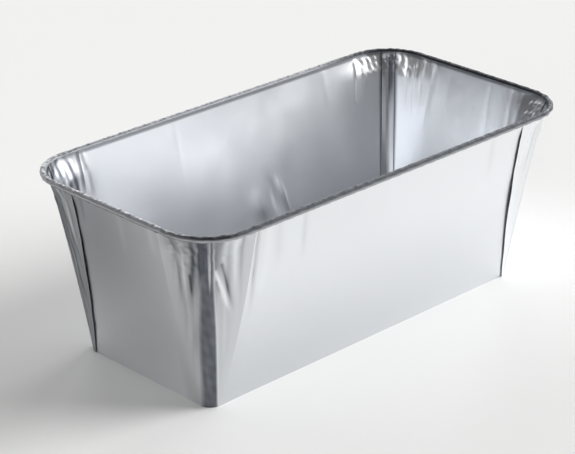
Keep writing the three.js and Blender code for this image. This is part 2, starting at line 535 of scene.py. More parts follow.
@dataclass(kw_only=True)
class FoilPiece(ABC):
    """One stretch of foil between folds, laid from a flat grid with shares across and up it from 0 to 1."""

    form: PanForm
    finish: FoilFinish
    sharp: float = math.radians(30)
    # painted shade under the rim's curl, and how far down it reaches
    curl_shade: float = 0.75
    curl_shade_depth: float = 2.0

    @property
    @abstractmethod
    def node(self) -> str:
        """The solid that the piece stands for."""

    @property
    @abstractmethod
    def grid(self) -> tuple[int, int]:
        """Faces across and up the grid."""

    @abstractmethod
    def surface(self, across: np.ndarray, up: np.ndarray) -> np.ndarray:
        """Finds where the foil lies.

        Args:
            across: Shares across the grid.
            up: Shares up the grid.

        Returns:
            Points in millimetres, one row each.
        """

    def shade_and_wear(self, across: np.ndarray, up: np.ndarray) -> np.ndarray:
        """Finds the share of painted shade and wear: none, unless a piece says more.

        Args:
            across: Shares across the grid.
            up: Shares up the grid, not used here.

        Returns:
            Shares from 0 to 1.
        """
        return np.zeros_like(across)

    def rolled(self, z: np.ndarray) -> np.ndarray:
        """Painted shade in a strip along the top of the foil under the rim's curl, from 0 to 1."""
        below_rim = self.form.mouth_height - z
        return self.curl_shade * (1 - smoothstep(below_rim, self.curl_shade_depth / 2, self.curl_shade_depth))

    def build(self) -> bpy.types.Object:
        """Models the piece.

        Returns:
            The dressed piece.
        """
        columns, rows = self.grid
        bpy.ops.object.select_all(action="DESELECT")
        bpy.ops.mesh.primitive_grid_add(x_subdivisions=columns, y_subdivisions=rows, size=1.0)
        sheet = bpy.context.active_object
        sheet.name = f"{self.node}_foil"
        sheet.data.name = sheet.name
        flat = np.empty(len(sheet.data.vertices) * 3)
        sheet.data.vertices.foreach_get("co", flat)
        across, up, _ = np.clip(flat.reshape(-1, 3) + 0.5, 0.0, 1.0).T
        sheet.data.vertices.foreach_set("co", (self.surface(across, up) * MM).ravel())
        # each vertex gets its share of painted shade and highlights, with some handling wear
        layer = sheet.data.attributes.new(SHADE_AND_WEAR, "FLOAT", "POINT")
        layer.data.foreach_set("value", self.shade_and_wear(across, up))
        sheet.data.update()
        self.thicken(sheet)
        self.dress(sheet)
        return sheet

    def thicken(self, sheet: bpy.types.Object) -> None:
        """Gives a sheet the foil's gauge and smooth shading.

        Args:
            sheet: The piece.
        """
        bpy.ops.object.select_all(action="DESELECT")
        sheet.select_set(True)
        bpy.context.view_layer.objects.active = sheet
        bpy.ops.object.mode_set(mode="EDIT")
        bpy.ops.mesh.select_all(action="SELECT")
        bpy.ops.mesh.remove_doubles(threshold=WELD * MM)
        bpy.ops.object.mode_set(mode="OBJECT")
        bpy.ops.object.modifier_add(type="SOLIDIFY")
        solidify = sheet.modifiers[-1]
        solidify.thickness = self.form.gauge * MM
        solidify.offset = 0.0
        bpy.ops.object.modifier_apply(modifier=solidify.name)
        bpy.ops.object.shade_smooth_by_angle(angle=self.sharp)

    def dress(self, piece: bpy.types.Object) -> None:
        """Gives the piece its finish and its place in the frame.

        Args:
            piece: The modelled foil.
        """
        piece.data.materials.clear()
        piece.data.materials.append(self.finish.material())
        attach(piece, BODY)
        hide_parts(self.node)
        log.info("%s: %d faces", piece.name, len(piece.data.polygons))


@dataclass(kw_only=True)
class FlatWall(FoilPiece):
    """A leaning wall between the creases of two corners.

    Its folds and its patch of painted shade and wear are placed from its middle. Where a corner's flap is
    pressed flush into the wall, hugged is the sign of that end.
    """

    wall: Wall
    creases: tuple[Crease, ...]
    shade_and_wear_patch: ShadeAndWearPatch
    hugged: int = 0
    # painted shade on the wall beside a pressed flap
    pressed_flap_shade: float = 0.0
    pitch: float = 1.0
    crease_fade: float = 9.0
    fold_fade: float = 3.0
    foot_fade: float = 8.0
    rim_fade: float = 3.0
    swell_fade: float = 22.0
    swell: float = 0.3
    swell_pitch: float = 55.0
    first_seed: int = 11
    hug: float = 0.31
    hug_run: float = 16.0
    flush_fade: tuple[float, float] = (2.0, 8.0)
    step: float = 0.04
    # painted shade in fold valleys, and painted highlights on their ridges
    fold_valley_shade: float = 0.5

    @property
    def node(self) -> str:
        """The solid that the wall stands for."""
        return self.wall.name.lower()

    @property
    def grid(self) -> tuple[int, int]:
        """Faces along and up the wall."""
        length = self.form.base_width if self.wall.value[0] else self.form.base_length
        return round(length / self.pitch), round(self.form.mouth_height / self.pitch)

    def place(self, across: np.ndarray, up: np.ndarray) -> tuple[np.ndarray, np.ndarray, np.ndarray]:
        """Finds places on the wall, with two close columns where a flap's edge steps down to it.

        Args:
            across: Shares across the grid.
            up: Shares up the grid.

        Returns:
            Heights, distances from the nearer crease and distances from the middle of the wall.
        """
        form, lap = self.form, self.form.fold_lap
        columns = self.grid[0]
        z = form.height(up)
        half = (form.half_width(z) if self.wall.value[0] else form.half_length(z)) - form.reach(z)
        count = np.minimum(across, 1 - across) * columns
        inner = lap + self.step + (count - 2) / (columns / 2 - 2) * (half - lap - self.step)
        gap = np.where(count < 1.5, count * lap, inner)
        return z, gap, np.sign(across - 0.5) * (half - gap)

    def folds(self, z: np.ndarray, gap: np.ndarray, run: np.ndarray) -> np.ndarray:
        """Finds how far the folds stand out, less towards the creases.

        Args:
            z: Heights.
            gap: Distances from the nearer crease.
            run: Distances from the middle of the wall.

        Returns:
            Outward distances in millimetres.
        """
        return smoothstep(gap, 0, self.fold_fade) * sum(crease.lift(run, z) for crease in self.creases)

    def surface(self, across: np.ndarray, up: np.ndarray) -> np.ndarray:
        """Leans the wall, with its swell, its folds and the step beside a pressed flap.

        Args:
            across: Shares across the grid.
            up: Shares up the grid.

        Returns:
            Points in millimetres, one row each.
        """
        form = self.form
        face_x, face_y = self.wall.value
        z, gap, run = self.place(across, up)
        below_rim = form.mouth_height - z
        ripple = Ripple(list(Wall).index(self.wall) + self.first_seed, self.swell_pitch, self.swell)
        swell = smoothstep(gap, 0, self.crease_fade) * smoothstep(below_rim, 0, self.swell_fade)
        swell = swell * ripple.lift(run, z)
        folds = smoothstep(below_rim, 0, self.rim_fade) * self.folds(z, gap, run)
        beside = (run * self.hugged > 0) & (gap > form.fold_lap + self.step / 2)
        flush = np.where(beside, self.hug, 0) * (1 - smoothstep(gap, form.fold_lap, self.hug_run))
        flush = flush * smoothstep(below_rim, *self.flush_fade)
        out = smoothstep(z, 0, self.foot_fade) * (swell + folds) + flush
        out = out + form.eased_crease(gap, z) - form.layer / 2
        if face_x:
            return np.stack([face_x * (form.half_length(z) + out), face_x * run, z], axis=1)
        return np.stack([-face_y * run, face_y * (form.half_width(z) + out), z], axis=1)

    def shade_and_wear(self, across: np.ndarray, up: np.ndarray) -> np.ndarray:
        """Paints shade: the patch of shade and wear, the valleys of the folds with their ridges lighter,
        and the foil beside a pressed flap.

        Args:
            across: Shares across the grid.
            up: Shares up the grid.

        Returns:
            Shares from 0 to 1.
        """
        z, gap, run = self.place(across, up)
        beside = self.pressed_flap_shade * (1 - smoothstep(gap, 0, self.hug_run))
        pressed = np.where(run * self.hugged > 0, beside, 0.0)
        shaded = np.maximum(pressed, self.shade_and_wear_patch.share(run, z)) - self.fold_valley_shade * self.folds(z, gap, run)
        return np.clip(np.maximum(shaded, self.rolled(z)), 0, 1)


@dataclass(frozen=True)
class CornerFoil:
    """Folds and crumples that all the layers of one corner share.

    Distances across a corner start in the middle of its band and are negative on the end wall's side.
    """

    form: PanForm
    corner: Corner
    creases: tuple[Crease, ...]
    ribs: tuple[Crease, ...]
    pressed: bool = False
    first_seed: int = 31

    # crumples under the rim
    crumple_height: float = 1.1
    crumple_pitch: float = 7.0
    crumple_floor: float = 62.0
    crumple_top: float = 84.0
    crumple_reach: float = 24.0
    crumple_below: float = 0.25
    fine_pitch: float = 3.2
    fine_height: float = 0.5
    fine_seed_step: int = 40
    edge_fade: float = 3.0
    foot_fade: tuple[float, float] = (2.0, 12.0)
    rim_fade: float = 2.5

    # hemmed edges, which sway past the crease and spring away from the wall
    hem: Grain = Grain(30, 34.0, 0.7, across=50.0)
    hem_foot: tuple[float, float] = (3.0, 15.0)
    hem_top: tuple[float, float] = (78.0, 86.0)
    flap: float = 0.6
    flap_run: float = 6.0
    flap_run_share: float = 0.8
    flap_wave: Grain = Grain(10, 20.0, 0.9, across=40.0)
    flap_foot: float = 0.35
    flap_rise: float = 25.0
    flap_top: tuple[float, float] = (81.0, 87.0)

    # painted shade on the faces each side of the band, on their edges and on the leaf under them, lighter
    # on raised folds
    end_face_shade: float = 0.2
    side_face_shade: float = 0.2
    end_edge_shade: float = 0.0
    side_edge_shade: float = 0.0
    edge_run: float = 10.0
    face_grain: Grain = Grain(22, 4.0, 0.5, up=0.15)
    near_band: tuple[float, float] = (2.0, 14.0)
    near_rim: tuple[float, float] = (45.0, 85.0)
    fold_shading: float = 1.2
    leaf_shade: float = 0.1
    leaf_grain: Grain = Grain(23, 2.0, 0.45, across=40.0, up=0.1)
    crease_shade: float = 0.0

    # painted shade of the band, whose edges wander, with painted highlights on its ribs
    band_shade: float = 1.0
    band_streak: float = 0.0
    band_grain: Grain = Grain(24, 3.0, 1.2, up=0.06)
    band_start: float = -6.4
    band_soft: float = 4.6
    band_end: tuple[float, float] = (2.5, 4.3)
    band_wander: Grain = Grain(20, 26.0, 0.8, across=0.0)
    band_end_wander: float = 0.4
    band_patches: Grain = Grain(21, 6.0, 0.07, across=1.6, up=0.8)
    band_mean: float = 0.95
    rib_highlight: float = 0.25

    @property
    def seed(self) -> int:
        """Seed of this corner's scatter."""
        return list(Corner).index(self.corner) + self.first_seed

    def crushed(self, across: np.ndarray, z: np.ndarray) -> np.ndarray:
        """How strongly the foil is crumpled, from 0 to 1: most under the rim."""
        high = np.maximum(smoothstep(z, self.crumple_floor, self.crumple_top), self.crumple_below)
        return high * (1 - smoothstep(np.abs(across), self.crumple_reach / 3, self.crumple_reach))

    def lap(self, side: np.ndarray, z: np.ndarray) -> np.ndarray:
        """How far a hemmed edge stands past its crease, in millimetres."""
        if self.pressed:
            return np.full_like(z, self.form.fold_lap)
        held = smoothstep(z, *self.hem_foot) * (1 - smoothstep(z, *self.hem_top))
        return self.form.fold_lap + self.hem.lift(self.seed, side, z) * held

    def lift(self, across: np.ndarray, z: np.ndarray) -> np.ndarray:
        """Finds how far folds and crumples move the corner's foil out.

        Args:
            across: Distances across the corner.
            z: Heights.

        Returns:
            Outward distances in millimetres.
        """
        gap = self.form.half_run(z) - np.abs(across)
        fade = smoothstep(gap, 0, self.edge_fade) * smoothstep(z, *self.foot_fade)
        fade = fade * smoothstep(self.form.mouth_height - z, 0, self.rim_fade)
        coarse = Ripple(self.seed, self.crumple_pitch, self.crumple_height, sharp=True)
        fine = Ripple(self.seed + self.fine_seed_step, self.fine_pitch, self.fine_height, sharp=True)
        crumples = self.crushed(across, z) * (coarse.lift(across, z) + fine.lift(across, z))
        folds = sum(crease.lift(across, z) for crease in self.creases + self.ribs)
        return self.form.eased_crease(gap, z) + fade * (folds + crumples)

    def flare(self, across: np.ndarray, along: np.ndarray, z: np.ndarray) -> np.ndarray:
        """Finds how far the hemmed edge of the gusset springs away from the wall, or lies down on it.

        Args:
            across: Distances across the corner.
            along: Distances from the crease.
            z: Heights.

        Returns:
            Outward distances in millimetres.
        """
        if self.pressed:
            past_crease = np.maximum(-along, 0.0) * math.tan(self.form.crease_turn)
            return -past_crease * (1 - self.form.rounding(z))
        wave = self.flap_wave.lift(self.seed, np.sign(across), z)
        sprung = self.flap_foot + (1 - self.flap_foot) * smoothstep(z, 0, self.flap_rise)
        sprung = sprung * (1 - smoothstep(z, *self.flap_top))
        run = np.minimum(self.flap_run, self.flap_run_share * self.form.half_run(z))
        share = np.clip((along + self.form.fold_lap) / (run + self.form.fold_lap), 0, 1)
        return self.flap * (1 + wave) * sprung * (1 - share) ** 2

    def bent(self, across: np.ndarray, z: np.ndarray) -> np.ndarray:
        """Finds the corner's painted shade, with painted highlights on its ribs and raised folds.

        Args:
            across: Distances across the corner.
            z: Heights.

        Returns:
            Shares from 0 to 1.
        """
        return np.clip(np.maximum(self._band_shade(across, z), self._face_shade(across, z)), 0, 1)

    def _band_shade(self, across: np.ndarray, z: np.ndarray) -> np.ndarray:
        """Finds the band's painted shade: darkest of all, with painted highlights on its ribs.

        Args:
            across: Distances across the corner.
            z: Heights.

        Returns:
            Shares, not held between 0 and 1.
        """
        wander = self.band_wander.lift(self.seed, across, z)
        end = smoothstep(across - wander, self.band_start, self.band_start + self.band_soft)
        side = 1 - smoothstep(across + self.band_end_wander * wander, *self.band_end)
        patches = self.band_mean + self.band_patches.lift(self.seed, across, z)
        streaks = 1 - self.band_streak * (0.5 + self.band_grain.lift(self.seed, across, z))
        # painted highlights along the ribs
        rib_highlights = sum(np.clip(rib.lift(across, z) / self.rib_highlight, 0, 1) for rib in self.ribs)
        return self.band_shade * np.minimum(end, side) * patches * np.clip(streaks, 0, 1) - rib_highlights

    def _face_shade(self, across: np.ndarray, z: np.ndarray) -> np.ndarray:
        """Finds the faces' painted shade: darker near the band and the rim, lighter on raised folds.

        Args:
            across: Distances across the corner.
            z: Heights.

        Returns:
            Shares, not held between 0 and 1.
        """
        # painted shade of the faces
        dull = np.where(across < 0, self.end_face_shade, self.side_face_shade)
        edge = np.where(across < 0, self.end_edge_shade, self.side_edge_shade)
        grain = 1 + self.face_grain.lift(self.seed, across, z)
        near = 1 + (1 - smoothstep(np.abs(across), *self.near_band)) * smoothstep(z, *self.near_rim)
        folds = sum(crease.lift(across, z) for crease in self.creases)
        inside = smoothstep(self.form.half_run(z) - np.abs(across), 0, self.edge_run)
        return edge + (dull * grain * near - self.fold_shading * folds - edge) * inside


@dataclass(kw_only=True)
class Gusset(FoilPiece):
    """The outermost foil of a corner, hemmed at both edges."""

    foil: CornerFoil
    sharp: float = math.radians(35)
    half_columns: int = 76
    hem_columns: int = 4
    rows: int = 150
    edge: float = 0.03

    @property
    def node(self) -> str:
        """The solid that the gusset stands for."""
        return f"{self.foil.corner.name.lower()}_gusset"

    @property
    def grid(self) -> tuple[int, int]:
        """Faces from hem to hem and up the corner."""
        return 2 * (self.half_columns + self.hem_columns), self.rows

    @property
    def bend(self) -> float:
        """Radius of the hems."""
        return (self.form.layer + self.form.layer_gap) / 2

    def place(self, across: np.ndarray, up: np.ndarray) -> tuple[np.ndarray, ...]:
        """Finds places on the corner, with a narrow column along each hem.

        Args:
            across: Shares across the grid.
            up: Shares up the grid.

        Returns:
            Heights, distances from the crease, turns of the hem and distances across the corner.
        """
        form = self.form
        z = form.height(up)
        step = np.minimum(across, 1 - across) * self.grid[0] - self.hem_columns
        side = np.where(across < 0.5, -1.0, 1.0)
        lap = self.foil.lap(side, z)
        share = (step - 1) / (self.half_columns - 1)
        inner = self.edge + share * (form.half_run(z) + lap - self.edge)
        along = np.where(step < 1.5, np.maximum(step, 0) * self.edge, inner) - lap
        turn = np.clip(-step / self.hem_columns, 0, 1) * math.pi
        return z, along, turn, side * (form.half_run(z) - along)

    def surface(self, across: np.ndarray, up: np.ndarray) -> np.ndarray:
        """Lays the foil over both halves of the corner and turns its edges under.

        Args:
            across: Shares across the grid.
            up: Shares up the grid.

        Returns:
            Points in millimetres, one row each.
        """
        form, foil = self.form, self.foil
        z, along, turn, spread = self.place(across, up)
        top = 2 * form.layer_gap + 1.5 * form.layer
        off = top - self.bend * (1 - np.cos(turn)) + foil.lift(spread, z) + foil.flare(spread, along, z)
        along = along - self.bend * np.sin(turn)
        end = form.corner_points(foil.corner, Half.END, z, along, off)
        side = form.corner_points(foil.corner, Half.SIDE, z, along, off)
        return np.where((across < 0.5)[:, None], end, side)

    def shade_and_wear(self, across: np.ndarray, up: np.ndarray) -> np.ndarray:
        """Paints the corner's shade and highlights, and the shade under the rim's curl.

        Args:
            across: Shares across the grid.
            up: Shares up the grid.

        Returns:
            Shares from 0 to 1.
        """
        z, _, _, spread = self.place(across, up)
        return np.maximum(self.foil.bent(spread, z), self.rolled(z))


@dataclass(kw_only=True)
class Pleat(FoilPiece):
    """Spare foil beside a corner, folded back on itself under the gusset."""

    foil: CornerFoil
    half: Half
    sharp: float = math.radians(50)
    leaf_columns: int = 44
    bend_columns: int = 6
    rows: int = 130
    crease_run: tuple[float, float] = (1.0, 4.5)
    crease_rise: tuple[float, float] = (60.0, 78.0)
    leaf_run: float = 6.0
    leaf_rise: tuple[float, float] = (20.0, 75.0)
    tip_fade: tuple[float, float] = (0.03, 0.1)

    @property
    def node(self) -> str:
        """The solid that the pleat stands for."""
        return f"{self.foil.corner.name.lower()}_{self.half.value}_pleat"

    @property
    def grid(self) -> tuple[int, int]:
        """Faces over both leaves and up the corner."""
        return 2 * self.leaf_columns + self.bend_columns, self.rows

    @property
    def leaf(self) -> float:
        """Share of the grid that one leaf takes."""
        return self.leaf_columns / self.grid[0]

    def surface(self, across: np.ndarray, up: np.ndarray) -> np.ndarray:
        """Lays the inner leaf, the hairpin at its tip and the leaf that comes back over it.

        Args:
            across: Shares across the grid.
            up: Shares up the grid.

        Returns:
            Points in millimetres, one row each.
        """
        form, foil, leaf = self.form, self.foil, self.leaf
        inner = -form.layer / 2
        outer = form.layer_gap + form.layer / 2
        bend = (outer - inner) / 2
        side = -1.0 if self.half is Half.END else 1.0
        z = form.height(up)
        tip = form.face(z) - bend
        heel = form.gauge + form.layer_gap - foil.lap(np.full_like(z, side), z)
        returning = across > 1 - leaf
        turn = np.clip((across - leaf) / (1 - 2 * leaf), 0, 1) * math.pi
        along = np.where(turn > 0, tip + bend * np.sin(turn), across / leaf * tip)
        along = np.where(returning, tip + (across - 1 + leaf) / leaf * (heel - tip), along)
        spread = side * (form.half_run(z) - along)
        off = inner + bend * (1 - np.cos(turn)) + foil.lift(spread, z)
        off = off + np.where(returning, foil.flare(spread, along, z), 0.0)
        return form.corner_points(foil.corner, self.half, z, along, off)

    def shade_and_wear(self, across: np.ndarray, up: np.ndarray) -> np.ndarray:
        """Paints shade in the fold at the tip, beside the crease, in streaks on the leaf under the rim, and
        under the curl.

        Args:
            across: Shares across the grid.
            up: Shares up the grid.

        Returns:
            Shares from 0 to 1.
        """
        foil = self.foil
        z = self.form.height(up)
        along = across / self.leaf * self.form.face(z)
        streaks = foil.leaf_shade * (1 + foil.leaf_grain.lift(foil.seed, across, z))
        streaks = streaks * smoothstep(along, 0, self.leaf_run) * smoothstep(z, *self.leaf_rise)
        beside = foil.crease_shade * (1 - smoothstep(along, *self.crease_run))
        crease = beside * smoothstep(z, *self.crease_rise)
        tip = 1 - smoothstep(np.abs(across - 0.5), *self.tip_fade)
        return np.clip(np.maximum.reduce([tip, streaks, crease, self.rolled(z)]), 0, 1)


@dataclass(kw_only=True)
class BasePanel(FoilPiece):
    """The flat bottom."""

    pitch: float = 1.6
    swell: float = 0.35
    swell_pitch: float = 34.0
    swell_seed: int = 71
    edge_fade: float = 14.0

    @property
    def node(self) -> str:
        """The solid that the base stands for."""
        return "base_panel"

    @property
    def grid(self) -> tuple[int, int]:
        """Faces along and across the base."""
        return round(self.form.base_length / self.pitch), round(self.form.base_width / self.pitch)

    def surface(self, across: np.ndarray, up: np.ndarray) -> np.ndarray:
        """Fills the outline where the walls stand, and lifts the middle a little off the floor.

        Args:
            across: Shares across the grid.
            up: Shares up the grid.

        Returns:
            Points in millimetres, one row each.
        """
        form = self.form
        u, v = across[:, None], up[:, None]
        low, high = form.foot_points(Wall.FRONT_WALL, across), form.foot_points(Wall.BACK_WALL, across)
        left, right = form.foot_points(Wall.LEFT_END_WALL, up), form.foot_points(Wall.RIGHT_END_WALL, up)
        ends = np.array([0.0, 1.0])
        near, far = form.foot_points(Wall.FRONT_WALL, ends), form.foot_points(Wall.BACK_WALL, ends)
        corners = (1 - v) * ((1 - u) * near[0] + u * near[1]) + v * ((1 - u) * far[0] + u * far[1])
        points = (1 - v) * low + v * high + (1 - u) * left + u * right - corners
        end_gap = np.minimum(across, 1 - across) * form.base_length
        side_gap = np.minimum(up, 1 - up) * form.base_width
        fade = smoothstep(np.minimum(end_gap, side_gap), 0, self.edge_fade)
        ripple = Ripple(self.swell_seed, self.swell_pitch, self.swell)
        swell = (ripple.lift(points[:, 0], points[:, 1]) + self.swell) / 2
        points[:, 2] = form.gauge / 2 + fade * swell
        return points


class RimStops(NamedTuple):
    """Where each stretch of the rim starts, along it from the middle of the right end and by the back."""

    back_right: float
    back: float
    back_left: float
    left: float
    front_left: float
    front: float
    front_right: float
    right: float
    length: float

    @property
    def corners(self) -> tuple[float, ...]:
        """Where the round corners start."""
        return self.back_right, self.back_left, self.front_left, self.front_right


@dataclass(kw_only=True)
class RolledRim(FoilPiece):
    """The foil's edge rolled outward round the mouth.

    Angles round the curl are level outwards at 0 and straight up at a quarter turn.
    """

    sharp: float = math.radians(40)
    columns: int = 1300
    rows: int = 34
    clearance: float = 0.01

    # dents, deeper round the corners
    straight_dent: float = 0.16
    corner_dent: float = 0.38
    corner_fade: tuple[float, float] = (-2.0, 14.0)
    dent_pitch: float = 2.8
    dent_waves: int = 7
    dent_seed: int = 91
    seam_fade: float = 0.004
    wall_fade: float = 0.15

    # painted shade over the curl, with painted highlights over the back and left, under the curl and along
    # the crest
    crest_angle: float = math.radians(92)
    crest_spread: float = math.radians(42)
    crest_highlight: float = 0.35
    dash_seed: int = 92
    dash_pitch: float = 3.5
    dash_depth: float = 1.6
    dash_floor: float = 0.4
    stretch_highlight: float = 0.42
    stretch_highlight_floor: float = 0.6
    ridge_angle: float = math.radians(35)
    under_angle: float = math.radians(28)
    under_highlight: float = 0.72
    lip_angle: float = math.radians(-12)
    lighter_stretch_turn: float = math.radians(20)
    lighter_stretch_start: float = 40.0
    lighter_stretch_end: tuple[float, float] = (-10.0, 20.0)

    @property
    def node(self) -> str:
        """The solid that the rim stands for."""
        return "rolled_rim"

    @property
    def grid(self) -> tuple[int, int]:
        """Faces along the rim and round the curl."""
        return self.columns, self.rows

    @property
    def arc(self) -> float:
        """Length of a round corner of the walls."""
        return self.form.mouth_corner * math.pi / 2

    @property
    def straight(self) -> tuple[float, float]:
        """Half lengths of the straight stretches along X and along Y."""
        mouth, corner = self.form.mouth_height, self.form.mouth_corner
        return float(self.form.half_length(mouth)) - corner, float(self.form.half_width(mouth)) - corner

    @property
    def stops(self) -> RimStops:
        """Where the stretches of the rim start."""
        half_x, half_y = self.straight
        half_way = (self.arc, 2 * half_x, self.arc, 2 * half_y)
        return RimStops(*np.cumsum((half_y, *half_way, *half_way[:3], half_y)))

    def angle(self, up: np.ndarray) -> np.ndarray:
        """Finds angles round the curl, from the wall over the crest and under to the lip.

        Args:
            up: Shares of the way.

        Returns:
            Angles in radians.
        """
        form = self.form
        gusset_outside = 2 * form.layer_gap + 2 * form.layer
        lip_depth = math.cos(form.lean) * (form.layer + gusset_outside + form.lip_gap)
        first = math.pi - form.lean
        last = math.acos(1 - lip_depth / form.curl_radius) - form.lean - math.pi
        return first + (last - first) * up

    def dent(self, across: np.ndarray, up: np.ndarray) -> np.ndarray:
        """Finds how deep the curl is dented, most round the corners.

        Args:
            across: Shares across the grid.
            up: Shares up the grid.

        Returns:
            Depths in millimetres.
        """
        stops, arc = self.stops, self.arc
        run = across * stops.length
        nearest = np.minimum.reduce([np.abs(run - corner - arc / 2) for corner in stops.corners])
        fade_from, fade_to = self.corner_fade
        cornered = 1 - smoothstep(nearest, arc / 2 + fade_from, arc / 2 + fade_to)
        depth = self.straight_dent + (self.corner_dent - self.straight_dent) * cornered
        ease = smoothstep(np.minimum(across, 1 - across), 0, self.seam_fade)
        ease = ease * smoothstep(up, 0, self.wall_fade)
        crumple = Ripple(self.dent_seed, self.dent_pitch, 1.0, sharp=True, waves=self.dent_waves)
        return depth * ease * np.clip(0.5 + crumple.lift(run, self.angle(up) * self.form.curl_radius), 0, 1)

    def surface(self, across: np.ndarray, up: np.ndarray) -> np.ndarray:
        """Rolls the foil from the top of the walls outward, down and under.

        Args:
            across: Shares across the grid.
            up: Shares up the grid.

        Returns:
            Points in millimetres, one row each.
        """
        form, stops = self.form, self.stops
        half_x, half_y = self.straight
        angle = self.angle(up)
        run = across * stops.length
        curl = form.curl_radius - form.gauge / 2 - self.clearance - self.dent(across, up)
        out = form.mouth_corner + form.curl_radius * math.cos(form.lean) - form.layer + curl * np.cos(angle)
        z = form.mouth_height - form.curl_radius * math.sin(form.lean) + curl * np.sin(angle)
        turned = sum(np.clip((run - corner) / self.arc, 0, 1) for corner in stops.corners) * math.pi / 2
        x = half_x - np.clip(run - stops.back, 0, 2 * half_x) + np.clip(run - stops.front, 0, 2 * half_x)
        y = np.clip(run, 0, half_y) - np.clip(run - stops.left, 0, 2 * half_y)
        y = y + np.clip(run - stops.right, 0, half_y)
        return np.stack([x + out * np.cos(turned), y + out * np.sin(turned), z], axis=1)

    def shade_and_wear(self, across: np.ndarray, up: np.ndarray) -> np.ndarray:
        """Paints the curl dark, with painted highlights over the back and left, under the curl and in short
        dashes along its crest.

        Args:
            across: Shares across the grid.
            up: Shares up the grid.

        Returns:
            Shares from 0 to 1.
        """
        stops, spread = self.stops, self.crest_spread
        angle = self.angle(up)
        run = across * stops.length
        crest = 1 - smoothstep(np.abs(angle - self.crest_angle), spread / 2, spread)
        ridge = 1 - smoothstep(np.abs(angle - self.ridge_angle), spread / 4, spread / 2)
        end_from, end_to = self.lighter_stretch_end
        ended = smoothstep(run, stops.front_left + end_from, stops.front_left + end_to)
        lighter_stretch = smoothstep(run, stops.back, stops.back + self.lighter_stretch_start) * (1 - ended)
        turned = angle - lighter_stretch * self.lighter_stretch_turn
        under = 1 - smoothstep(turned, self.under_angle - spread, self.under_angle)
        lip = lighter_stretch * (1 - smoothstep(angle, self.lip_angle - spread / 2, self.lip_angle))
        # painted highlights: lighter over the back and left, and under the curl
        dull = 1 - lighter_stretch * self.stretch_highlight * (self.stretch_highlight_floor + ridge)
        dull = dull * (1 - self.under_highlight * under * (1 - lip))
        # the crest's painted highlight is broken into dashes
        dashes = 0.5 + Ripple(self.dash_seed, self.dash_pitch, self.dash_depth).lift(run, angle)
        dashes = np.clip(self.dash_floor + (1 - self.dash_floor) * dashes, 0, 1)
        bright = self.crest_highlight + (1 - self.crest_highlight) * lighter_stretch
        return np.clip(dull * (1 - bright * crest * dashes), 0, 1)


@dataclass(frozen=True)
class Lamp:
    """A soft lamp far from the pan."""

    name: str
    azimuth: float
    elevation: float
    energy: float
    spread: float = 30.0

    def hang(self) -> None:
        """Hangs the lamp."""
        azimuth, elevation = math.radians(self.azimuth), math.radians(self.elevation)
        flat = math.cos(elevation)
        towards = Vector((math.cos(azimuth) * flat, math.sin(azimuth) * flat, math.sin(elevation)))
        bpy.ops.object.light_add(type="SUN", location=towards)
        lamp = bpy.context.active_object
        lamp.name = self.name
        lamp.data.energy = self.energy
        lamp.data.angle = math.radians(self.spread)
        lamp.rotation_euler = towards.to_track_quat("Z", "Y").to_euler()


